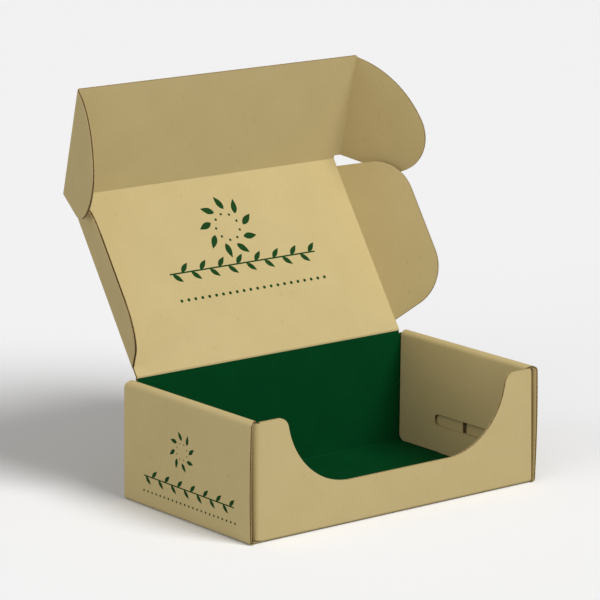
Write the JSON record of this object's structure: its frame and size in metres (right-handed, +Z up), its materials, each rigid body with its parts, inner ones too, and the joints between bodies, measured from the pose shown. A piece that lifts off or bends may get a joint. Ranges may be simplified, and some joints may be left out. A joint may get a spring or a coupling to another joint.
{
  "type": "roll end tuck top box",
  "caption": "Corrugated mailer box with rolled side walls, a bowl-shaped display cut-out in its front wall and a hinged lid with a tuck flap, ears and side flaps.",
  "frame": {"origin": "centre of the underside of the base, on the surface that the box stands on", "axes": "+X along the long side to the box's right, -Y to the front wall with the cut-out, +Z up"},
  "size_m": [0.2914, 0.2112, 0.272],
  "materials": {
    "kraft_board": "uncoated kraft"
  },
  "bodies": {
    "tray": {"tray": "kraft_board"},
    "lid": {"lid": "kraft_board"},
    "tuck": {"tuck_flap": "kraft_board"},
    "ear_left": {"ear_left": "kraft_board"},
    "ear_right": {"ear_right": "kraft_board"},
    "side_left": {"side_flap_left": "kraft_board"},
    "side_right": {"side_flap_right": "kraft_board"}
  },
  "joints": [
    {"name": "lid_hinge", "type": "hinge", "parent": "tray", "child": "lid", "pos_m": [0, 0.06745, 0.0836], "axis": [1, 0, 0], "range_deg": [-56.2, 123.8]},
    {"name": "tuck_fold", "type": "hinge", "parent": "lid", "child": "tuck", "pos_m": [0, 0.14211, 0.19512], "axis": [1, 0, 0], "range_deg": [-47.05, 21.39]},
    {"name": "side_flap_right_fold", "type": "hinge", "parent": "lid", "child": "side_right", "pos_m": [0.1155, 0.06745, 0.0836], "axis": [0, -0.5563, -0.831], "range_deg": [-21.16, 46.55]},
    {"name": "side_flap_left_fold", "type": "hinge", "parent": "lid", "child": "side_left", "pos_m": [-0.1155, 0.06745, 0.0836], "axis": [0, 0.5563, 0.831], "range_deg": [-21.16, 46.55]},
    {"name": "ear_right_fold", "type": "hinge", "parent": "tuck", "child": "ear_right", "pos_m": [0.1215, 0.14211, 0.19512], "axis": [0, 0.2284, -0.9736], "range_deg": [-23.29, 51.25]},
    {"name": "ear_left_fold", "type": "hinge", "parent": "tuck", "child": "ear_left", "pos_m": [-0.1215, 0.14211, 0.19512], "axis": [0, -0.2284, 0.9736], "range_deg": [-23.29, 51.25]}
  ],
  "couplings": [
    {"joint": "tuck_fold", "follows": "lid_hinge", "ratio": -0.37965},
    {"joint": "side_flap_right_fold", "follows": "lid_hinge", "ratio": 0.37561},
    {"joint": "side_flap_left_fold", "follows": "lid_hinge", "ratio": 0.37561},
    {"joint": "ear_right_fold", "follows": "lid_hinge", "ratio": 0.41357},
    {"joint": "ear_left_fold", "follows": "lid_hinge", "ratio": 0.41357}
  ]
}
